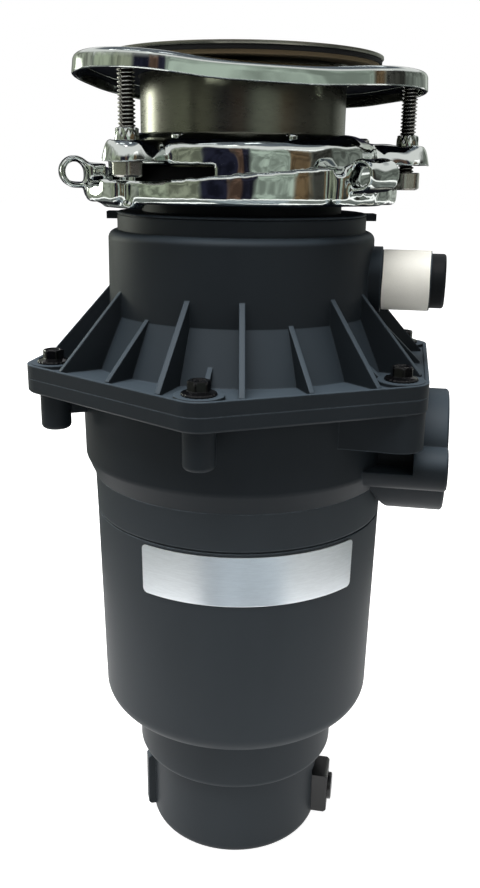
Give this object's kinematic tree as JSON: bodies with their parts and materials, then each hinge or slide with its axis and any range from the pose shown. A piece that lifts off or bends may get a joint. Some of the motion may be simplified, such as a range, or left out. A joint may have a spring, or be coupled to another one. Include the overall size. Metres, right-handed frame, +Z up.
{
  "type": "garbage disposal",
  "caption": "Upright sink disposer with a clamped sink flange, ribbed hopper, side discharge outlet, tapered motor shell and narrow round base.",
  "frame": {"origin": "centre of the flat face that the disposal stands on", "axes": "+Z up along the motor axis, +X the way the discharge outlet and dishwasher inlet point"},
  "size_m": [0.1759, 0.188, 0.3592],
  "materials": {
    "housing_plastic": "moulded, fine matte",
    "shell_plastic": "moulded, satin matte",
    "black_plastic": "moulded, matte",
    "chrome": "bright plated",
    "stainless": "brushed",
    "nameplate_steel": "brushed",
    "zinc_steel": "zinc plated",
    "black_steel": "black oxide",
    "rubber": "moulded",
    "fibre": "pressed fibre",
    "label_paper": "printed side left blank",
    "aluminium": "die cast",
    "motor_steel": "painted",
    "lamination_steel": "bare stack",
    "magnet": "sintered",
    "copper": "enamelled copper wire",
    "commutator_copper": "turned copper",
    "brass": "pressed",
    "carbon": "sintered graphite",
    "board": "glass laminate",
    "bearing_steel": "ground"
  },
  "bodies": {
    "housing": {"bottom_cover": "shell_plastic", "cover_screws": "zinc_steel", "power_gland": "black_plastic", "rectifier_board": "board", "overload_protector": "black_plastic", "motor_shell": "shell_plastic", "nameplate": "nameplate_steel", "lower_end_bell": "aluminium", "upper_end_bell": "aluminium", "motor_can": "motor_steel", "motor_magnets": "magnet", "through_bolts": "zinc_steel", "carbon_brushes": "carbon", "brush_holders": "brass", "lower_bearing": "bearing_steel", "upper_bearing": "bearing_steel", "lower_housing": "housing_plastic", "shaft_seal": "rubber", "grind_ring": "stainless", "flange_gasket": "rubber", "hopper": "housing_plastic", "inlet_label": "label_paper", "flange_screws": "black_steel", "splash_guard": "rubber", "mount_cushion": "rubber", "mounting_ring": "chrome", "bolt_collars": "zinc_steel", "snap_ring": "zinc_steel", "sink_flange": "stainless", "rubber_gasket": "rubber", "fibre_gasket": "fibre"},
    "rotor": {"motor_shaft": "bearing_steel", "armature_core": "lamination_steel", "armature_windings": "copper", "commutator": "commutator_copper", "turntable": "stainless", "turntable_nut": "stainless", "impeller_pins": "stainless"},
    "impeller_a": {"impeller_a": "stainless"},
    "impeller_b": {"impeller_b": "stainless"},
    "lock_ring": {"lock_ring": "chrome"},
    "sink_clamp": {"support_ring": "chrome", "mount_bolts": "zinc_steel"},
    "reset_button": {"reset_button": "black_plastic"}
  },
  "joints": [
    {"name": "rotor_spin", "type": "hinge", "parent": "housing", "child": "rotor", "pos_m": [0, 0, 0.13], "axis": [0, 0, 1], "continuous": true},
    {"name": "impeller_a_swing", "type": "hinge", "parent": "rotor", "child": "impeller_a", "pos_m": [0.038, 0, 0.213], "axis": [0, 0, 1], "continuous": true},
    {"name": "impeller_b_swing", "type": "hinge", "parent": "rotor", "child": "impeller_b", "pos_m": [-0.038, 0, 0.213], "axis": [0, 0, 1], "continuous": true},
    {"name": "lock_ring_turn", "type": "hinge", "parent": "housing", "child": "lock_ring", "pos_m": [0, 0, 0.306], "axis": [0, 0, 1], "range_deg": [-45, 0]},
    {"name": "sink_clamp_slide", "type": "slide", "parent": "housing", "child": "sink_clamp", "axis": [0, 0, 1], "range_m": [-0.01, 0]},
    {"name": "reset_button_press", "type": "slide", "parent": "housing", "child": "reset_button", "axis": [-1, 0, 0], "range_m": [0, 0.0015], "stiffness_N_per_m": 800, "springref_m": -0.0015}
  ]
}
